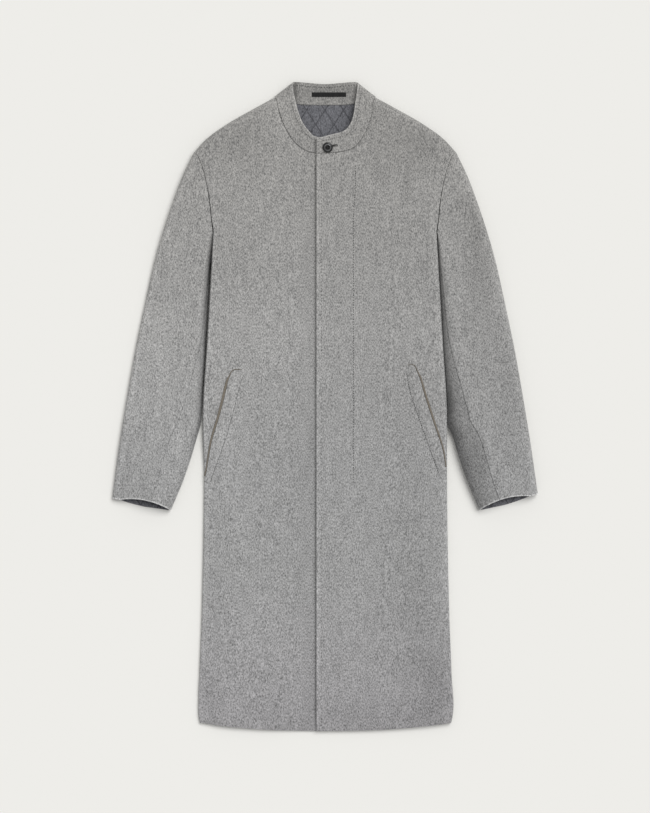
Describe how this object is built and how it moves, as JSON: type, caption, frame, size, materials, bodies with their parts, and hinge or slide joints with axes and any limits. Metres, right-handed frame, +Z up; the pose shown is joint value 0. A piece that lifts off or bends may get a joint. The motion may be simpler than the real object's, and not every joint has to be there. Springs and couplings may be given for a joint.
{
  "type": "coat",
  "caption": "Long double-face wool coat with a stand collar, a fly front, slanted welt pockets and long sleeves, laid flat on its back.",
  "frame": {"origin": "on the floor, under the middle of the coat's outline", "axes": "+X to the wearer's left, +Y from the hem to the collar, +Z up from the floor"},
  "size_m": [0.7836, 1.1951, 0.0324],
  "materials": {
    "wool": "felted grey melange wool with a soft nap, blue-grey on the inner face",
    "edge": "thin matt brown edging",
    "horn": "polished black, like horn",
    "label": "bare black satin tape"
  },
  "bodies": {
    "root": {"back_panel": "wool", "front_panel_left": "wool", "front_panel_right": "wool", "sleeve_top_left": "wool", "sleeve_top_right": "wool", "sleeve_under_left": "wool", "sleeve_under_right": "wool", "collar_band": "wool", "pocket_welt_left": "wool", "pocket_welt_right": "wool", "pocket_edge_left": "edge", "pocket_edge_right": "edge", "collar_button": "horn", "neck_label": "label"}
  },
  "joints": []
}
